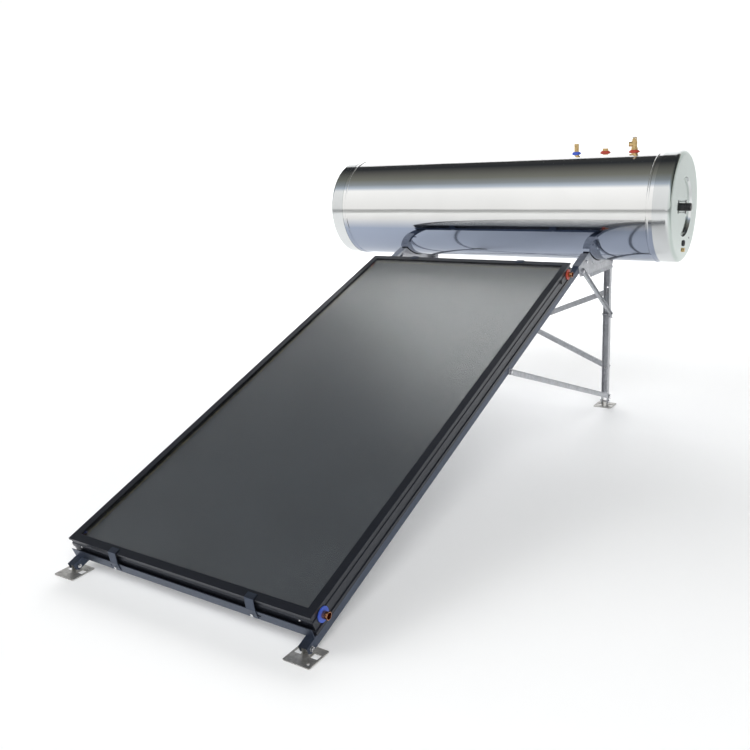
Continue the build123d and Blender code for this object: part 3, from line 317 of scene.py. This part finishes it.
def make_materials():
    """One material for each slot of the record."""
    zinc = {
        "metallic": 0.9,
        "roughness": 0.42,
        "mottle": 0.10,
        "scale": 14.0,
        "spangle": 0.10,
        "bump": 0.10,
        "bump_scale": 300.0,
    }
    return {
        "black_anodised": material("black_anodised", (0.022, 0.025, 0.034), 0.55, 0.34, 0.12, 40.0, 0.05,
                                   900.0, coat=0.2, grain=(1, 12, 12)),
        "rivet_steel": material("rivet_steel", (0.72, 0.72, 0.73), 1.0, 0.25, 0.05, 300.0),
        "solar_glass": solar_glass(),
        "seal_rubber": material("seal_rubber", (0.018, 0.018, 0.02), 0.0, 0.7, 0.2, 200.0, 0.2, 1200.0),
        "selective_coating": material("selective_coating", (0.098, 0.105, 0.118), 0.2, 0.6, 0.10, 5.0),
        "copper": material("copper", (0.78, 0.36, 0.19), 1.0, 0.22, 0.12, 60.0, 0.05, 500.0),
        "blue_rubber": material("blue_rubber", (0.045, 0.10, 0.50), 0.0, 0.45, 0.08, 150.0, 0.1, 900.0),
        "red_rubber": material("red_rubber", (0.42, 0.055, 0.035), 0.0, 0.45, 0.10, 150.0, 0.1, 900.0),
        "black_plastic": material("black_plastic", (0.014, 0.014, 0.016), 0.0, 0.32, 0.15, 180.0, 0.12,
                                  1500.0),
        "mineral_wool": material("mineral_wool", (0.55, 0.48, 0.22), 0.0, 0.95, 0.25, 60.0, 0.8, 150.0),
        "back_metal": material("back_metal", (0.55, 0.56, 0.58), 0.9, 0.4, 0.06, 8.0, 0.3, 120.0),
        "mirror_steel": mirror_steel(),
        "cap_metal": cap_metal(),
        "foam": material("foam", (0.78, 0.66, 0.38), 0.0, 0.95, 0.15, 40.0, 0.6, 220.0),
        "tank_steel": material("tank_steel", (0.5, 0.51, 0.52), 1.0, 0.38, 0.08, 30.0, 0.1, 300.0),
        "element_steel": material("element_steel", (0.42, 0.42, 0.43), 1.0, 0.35, 0.1, 80.0),
        "magnesium": material("magnesium", (0.45, 0.45, 0.44), 0.8, 0.6, 0.15, 90.0, 0.2, 200.0),
        "brass": material("brass", (0.66, 0.47, 0.22), 1.0, 0.28, 0.12, 120.0, 0.06, 600.0),
        "lever_steel": material("lever_steel", (0.72, 0.72, 0.73), 1.0, 0.18, 0.05, 200.0),
        "galvanised": material("galvanised", (0.50, 0.51, 0.535), **zinc),
        # dark_zinc is the stand's galvanised steel made dark navy on the rails, beams and clips: painted
        # reflection and painted shade of the same zinc coat that the legs show bright.
        "dark_zinc": material("dark_zinc", (0.075, 0.092, 0.13), metallic=0.85, roughness=0.36, mottle=0.08,
                              scale=10.0, spangle=0.06, bump=0.06, bump_scale=300.0),
        "foot_steel": material("foot_steel", (0.50, 0.49, 0.47), metallic=0.9, roughness=0.45, mottle=0.14,
                               scale=30.0, spangle=0.12, spangle_scale=160.0, bump=0.15, bump_scale=400.0),
        "bolt_steel": material("bolt_steel", (0.72, 0.72, 0.74), 1.0, 0.24, 0.08, 250.0, 0.05, 900.0),
    }


# ---------------------------------------------------------------- bolts
HEAD_ACROSS = 0.013
HEAD_THICK = 0.0053
NUT_THICK = 0.0065
WASHER_RADIUS = 0.008
WASHER_THICK = 0.0016
SHANK_RADIUS = 0.004
THREAD_PITCH = 0.00125
THREAD_DEPTH = 0.0007
TURN_STEPS = 36
SHEET_THICK = 0.002


def hex_reach(angle):
    """How far a hexagon of unit half-width reaches at an angle."""
    offset = (angle + math.pi / 6) % (math.pi / 3) - math.pi / 6
    return 1 / math.cos(offset)


def turned(rings):
    """Vertices and faces of a closed solid about X from rings of (x, radius as a function of angle)."""
    angles = [2 * math.pi * step / TURN_STEPS for step in range(TURN_STEPS)]
    verts = [(rings[0][0], 0, 0)]
    for x, radius in rings:
        for angle in angles:
            reach = radius(angle)
            verts.append((x, reach * math.cos(angle), reach * math.sin(angle)))
    verts.append((rings[-1][0], 0, 0))
    last = len(verts) - 1
    faces = []
    for step in range(TURN_STEPS):
        after = (step + 1) % TURN_STEPS
        faces.append((0, 1 + step, 1 + after))
        for ring in range(len(rings) - 1):
            low = 1 + ring * TURN_STEPS
            high = low + TURN_STEPS
            faces.append((low + step, high + step, high + after, low + after))
        top = last - TURN_STEPS
        faces.append((top + step, last, top + after))
    return verts, faces


def hexagon(start, thick, chamfer_start, chamfer_end):
    """A hexagon head or nut whose corners are cut back in a cone at the ends that ask for it."""
    half = HEAD_ACROSS / 2
    corner = half * 1.1547
    drop = 0.0011

    def ring(limit):
        return lambda angle: min(half * hex_reach(angle), limit)

    rings = []
    if chamfer_start:
        rings += [(start, ring(half * 0.95)), (start + drop * 0.3, ring(half))]
        rings += [(start + drop, ring(corner))]
    else:
        rings += [(start, ring(corner))]
    end = start + thick
    if chamfer_end:
        rings += [(end - drop, ring(corner)), (end - drop * 0.3, ring(half)), (end, ring(half * 0.95))]
    else:
        rings += [(end, ring(corner))]
    return turned(rings)


def washer(start, thick=WASHER_THICK):
    """A flat washer or spacer with rounded edges."""
    ease = WASHER_THICK * 0.25
    rings = [
        (start, lambda angle: WASHER_RADIUS - ease),
        (start + ease, lambda angle: WASHER_RADIUS),
        (start + thick - ease, lambda angle: WASHER_RADIUS),
        (start + thick, lambda angle: WASHER_RADIUS - ease),
    ]
    return turned(rings)


def threaded_shank(start, length):
    """A threaded rod with a tapered first turn."""
    count = max(6, int(length / THREAD_PITCH * 4))

    def ring(x, shrink):
        def radius(angle):
            phase = ((x - start) / THREAD_PITCH - angle / (2 * math.pi)) % 1.0
            return SHANK_RADIUS - shrink - THREAD_DEPTH * abs(2 * phase - 1)
        return radius

    rings = []
    for step in range(count + 1):
        x = start + length * step / count
        shrink = max(0.0, 0.0008 - (x - start))
        rings.append((x, ring(x, shrink)))
    return turned(rings)


def islands(piece):
    """The boxes of a mesh's separate solids, as (lowest corner, highest corner)."""
    mesh = piece.data
    root = list(range(len(mesh.vertices)))

    def find(item):
        while root[item] != item:
            root[item] = root[root[item]]
            item = root[item]
        return item

    places = {}
    for vertex in mesh.vertices:
        key = tuple(round(c * 1e5) for c in vertex.co)
        root[find(vertex.index)] = find(places.setdefault(key, vertex.index))
    for edge in mesh.edges:
        a, b = edge.vertices
        root[find(a)] = find(b)
    groups = {}
    for vertex in mesh.vertices:
        groups.setdefault(find(vertex.index), []).append(vertex.co)
    boxes = []
    for points in groups.values():
        low = Vector([min(p[axis] for p in points) for axis in range(3)])
        high = Vector([max(p[axis] for p in points) for axis in range(3)])
        boxes.append((low, high))
    boxes.sort(key=lambda box: tuple(round(c, 4) for c in box[0]))
    return boxes


def add_part(verts, faces, place, extra):
    """Moves a part into place and adds it to the growing mesh."""
    base = len(verts)
    verts.extend(place @ Vector(v) for v in extra[0])
    faces.extend(tuple(base + index for index in face) for face in extra[1])


def bolt_set(node, look):
    """Detailed bolts, washers and nuts in place of a node of plain ones."""
    verts, faces = [], []
    for low, high in islands(nodes[node]):
        size = high - low
        middle = (low + high) / 2
        along = 0 if size.x > size.y else 1
        length = size[along]
        sign = 1 if along == 1 or middle.x > 0 else -1
        point_past_nut = 0.003 if along == 0 else 0.0
        direction = Vector((sign, 0, 0)) if along == 0 else Vector((0, 1, 0))
        tip = middle - direction * length / 2
        second = Vector((0, 0, 1)).cross(direction)
        turn = Matrix((direction, second, Vector((0, 0, 1)))).transposed().to_4x4()
        place = Matrix.Translation(tip) @ turn
        head_start = length - HEAD_THICK
        add_part(verts, faces, place, threaded_shank(0.0, head_start))
        add_part(verts, faces, place, hexagon(point_past_nut, NUT_THICK, True, along == 1))
        add_part(verts, faces, place, hexagon(head_start, HEAD_THICK, False, True))
        if along == 0:
            add_part(verts, faces, place, washer(head_start - WASHER_THICK))
        else:
            leg_face = NUT_THICK + SHEET_THICK
            spacer = head_start - leg_face - SHEET_THICK
            if spacer > WASHER_THICK:
                add_part(verts, faces, place, washer(leg_face, spacer))
    mesh = bpy.data.meshes.new(f"detailed_{node}")
    mesh.from_pydata(verts, [], faces)
    mesh.materials.append(look)
    piece = bpy.data.objects.new(f"detailed_{node}", mesh)
    bpy.context.scene.collection.objects.link(piece)
    piece.data.validate()
    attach(piece, STAND)
    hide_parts(node)


make_camera()
made = make_materials()
make_studio()
slots = {part["node"]: part["material_slot"] for part in frame["record"]["subparts"]}
for name, piece in nodes.items():
    piece.data.materials.clear()
    piece.data.materials.append(made[slots[name]])
bolt_set("stand_bolts", made["bolt_steel"])
bolt_set("foot_bolts", made["bolt_steel"])
